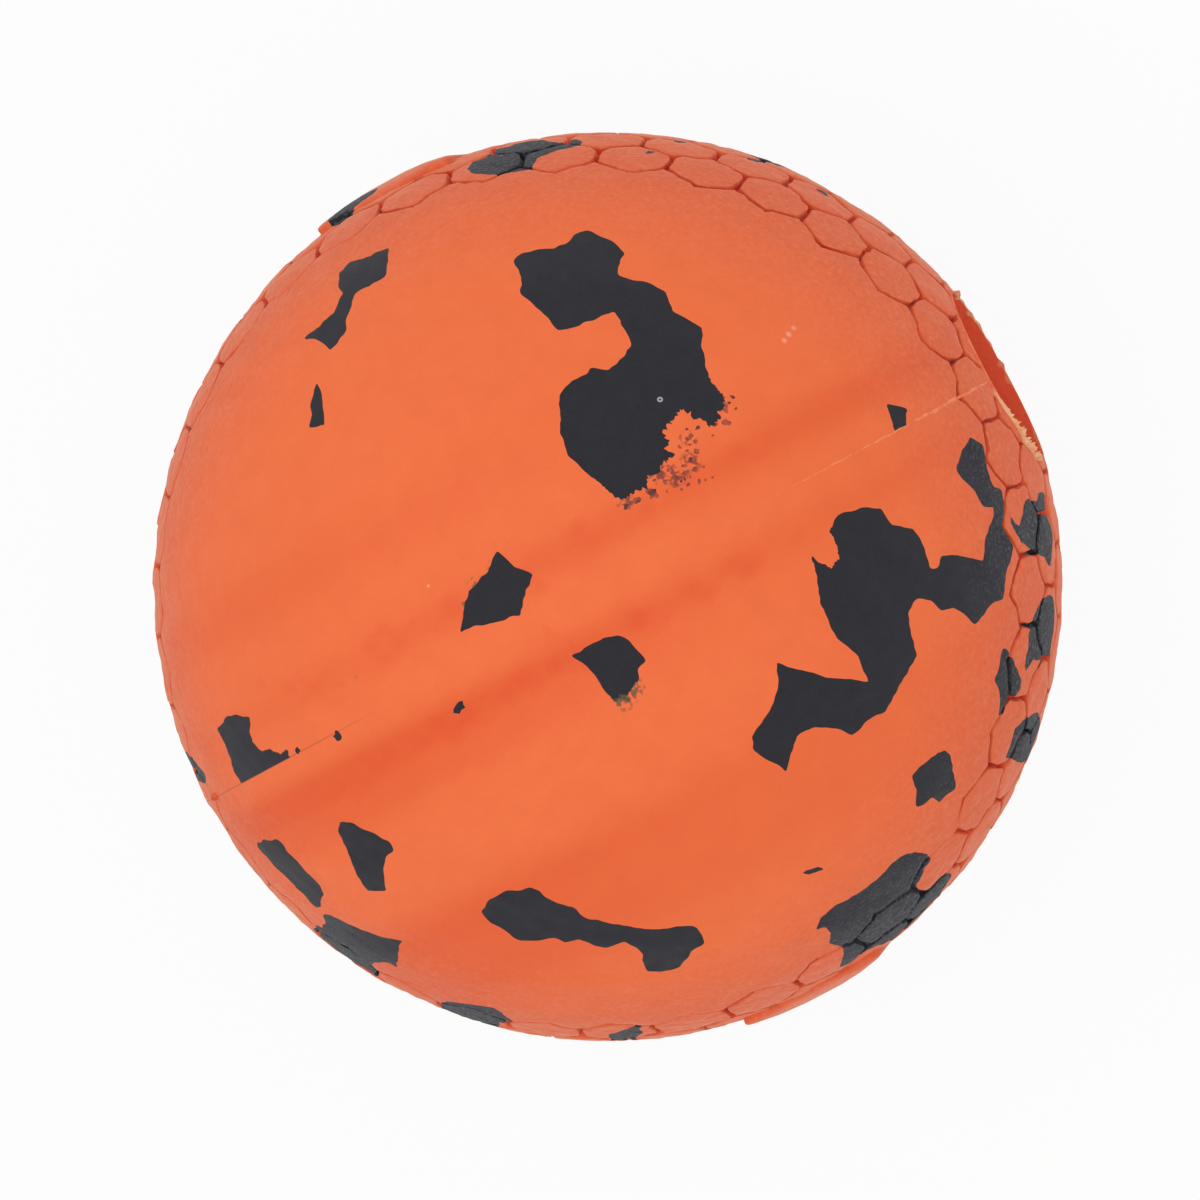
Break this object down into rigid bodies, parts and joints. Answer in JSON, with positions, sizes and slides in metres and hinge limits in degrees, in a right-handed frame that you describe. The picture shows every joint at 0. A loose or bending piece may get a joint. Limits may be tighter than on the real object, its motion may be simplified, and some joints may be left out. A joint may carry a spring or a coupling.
{
  "type": "dog ball",
  "caption": "Hollow rubber dog ball of two bonded half shells with a honeycomb belt, a round treat hole and inlaid dark rubber flakes.",
  "frame": {"origin": "centre of the ball", "axes": "+X out of the treat hole, +Z through the middle of the smooth cap that the picture shows, +Y through the middle of a raised plate; the seam is the plane Y = 0"},
  "size_m": [0.0742, 0.0762, 0.075],
  "materials": {
    "shell_rubber": "matte moulded orange rubber with fine grain",
    "flake_rubber": "matte black rubber flakes, flush with the shell"
  },
  "bodies": {
    "root": {"half_left": "shell_rubber", "half_right": "shell_rubber", "flake_comma": "flake_rubber", "flake_bow": "flake_rubber", "flake_sliver": "flake_rubber", "flake_diamond": "flake_rubber", "flake_corner": "flake_rubber", "flake_pip": "flake_rubber", "flake_crest": "flake_rubber", "flake_limb": "flake_rubber", "flake_tooth": "flake_rubber", "flake_pennant": "flake_rubber", "flake_oar": "flake_rubber", "flake_boot": "flake_rubber", "flake_lens": "flake_rubber", "flake_crumb": "flake_rubber", "flake_bone": "flake_rubber", "flake_dragon": "flake_rubber", "flake_ember": "flake_rubber", "flake_heel": "flake_rubber", "flake_strip": "flake_rubber", "flake_wedge": "flake_rubber", "flake_bell": "flake_rubber", "flake_shoal": "flake_rubber", "flake_brow": "flake_rubber", "flake_far_ridge": "flake_rubber", "flake_far_shelf": "flake_rubber", "flake_far_comma": "flake_rubber", "flake_far_bow": "flake_rubber", "flake_far_heel": "flake_rubber", "flake_far_pennant": "flake_rubber", "flake_far_tooth": "flake_rubber", "flake_far_bell": "flake_rubber", "flake_far_wedge": "flake_rubber", "flake_far_dragon": "flake_rubber", "flake_far_bone": "flake_rubber", "flake_far_diamond": "flake_rubber", "flake_far_ember": "flake_rubber", "flake_far_strip": "flake_rubber", "flake_far_bow_b": "flake_rubber", "flake_far_oar": "flake_rubber", "flake_far_sliver": "flake_rubber"}
  },
  "joints": []
}
